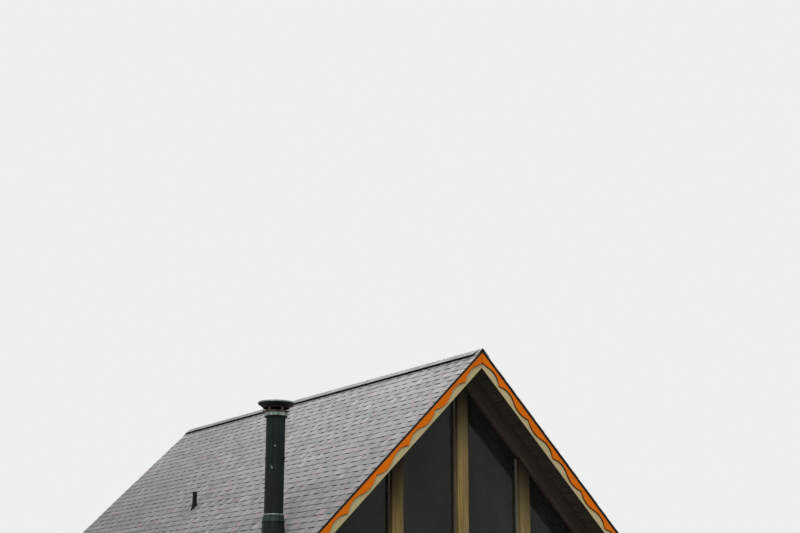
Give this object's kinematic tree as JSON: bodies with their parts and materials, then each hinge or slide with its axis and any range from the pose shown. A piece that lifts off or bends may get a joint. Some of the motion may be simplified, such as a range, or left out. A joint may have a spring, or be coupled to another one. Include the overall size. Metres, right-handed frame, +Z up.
{
  "type": "a-frame cabin",
  "caption": "Timber cabin with two steep shingled roof slopes down to the ground, scalloped rake trim, glazed gables, a round chimney and a vent pipe.",
  "frame": {"origin": "on the ground, under the middle of the cabin", "axes": "+Z up; the ridge runs along Y and the front gable, with the door, faces -Y; +X is to the right seen from the front"},
  "size_m": [9.7946, 9.774, 5.0794],
  "materials": {
    "concrete": "cast, weathered",
    "floor_wood": "oiled planks",
    "sill_wood": "treated, weathered",
    "rafter_wood": "stained",
    "gable_wood": "dark stain",
    "post_wood": "weathered, unpainted",
    "panel_wood": "dark stained boards",
    "stop_wood": "grey-white, weathered",
    "door_wood": "stained",
    "glass": "clear, dark room behind",
    "door_metal": "satin black",
    "plank_wood": "dark stained",
    "shingle": "mineral granules",
    "cream_paint": "cream paint, weathered",
    "orange_paint": "orange paint",
    "drip_metal": "dark green-black",
    "vent_plastic": "matt",
    "chimney_metal": "matt black, chalky",
    "cap_metal": "matt, weathered",
    "flashing_metal": "dull, streaked",
    "pipe_plastic": "weathered"
  },
  "bodies": {
    "root": {"concrete_base": "concrete", "floor_planks": "floor_wood", "sill_plates_side": "sill_wood", "sill_plate_front": "sill_wood", "sill_plate_back": "sill_wood", "rafters_left": "rafter_wood", "rafters_right": "rafter_wood", "ridge_beam": "rafter_wood", "gable_rafters_front": "gable_wood", "gable_rafters_back": "gable_wood", "posts_front": "post_wood", "posts_back": "post_wood", "rails_front": "post_wood", "rails_back": "post_wood", "wall_panels_front": "panel_wood", "wall_panels_back": "panel_wood", "glass_front": "glass", "glass_back": "glass", "glazing_stops_front": "stop_wood", "glazing_stops_back": "stop_wood", "door_frame": "door_wood", "door_leaf": "door_wood", "door_glass": "glass", "door_hinges": "door_metal", "door_handles": "door_metal", "roof_planks_left": "plank_wood", "roof_planks_right": "plank_wood", "shingles_left": "shingle", "shingles_right": "shingle", "rake_boards_front": "cream_paint", "rake_boards_back": "cream_paint", "scalloped_trim_front": "orange_paint", "scalloped_trim_back": "orange_paint", "drip_edges": "drip_metal", "eave_fascias": "cream_paint", "ridge_vent": "vent_plastic", "ridge_caps": "shingle", "chimney_pipe": "chimney_metal", "chimney_cap": "cap_metal", "storm_collar": "flashing_metal", "chimney_flashing": "flashing_metal", "chimney_support": "chimney_metal", "vent_pipe": "pipe_plastic", "vent_boot": "pipe_plastic"}
  },
  "joints": []
}
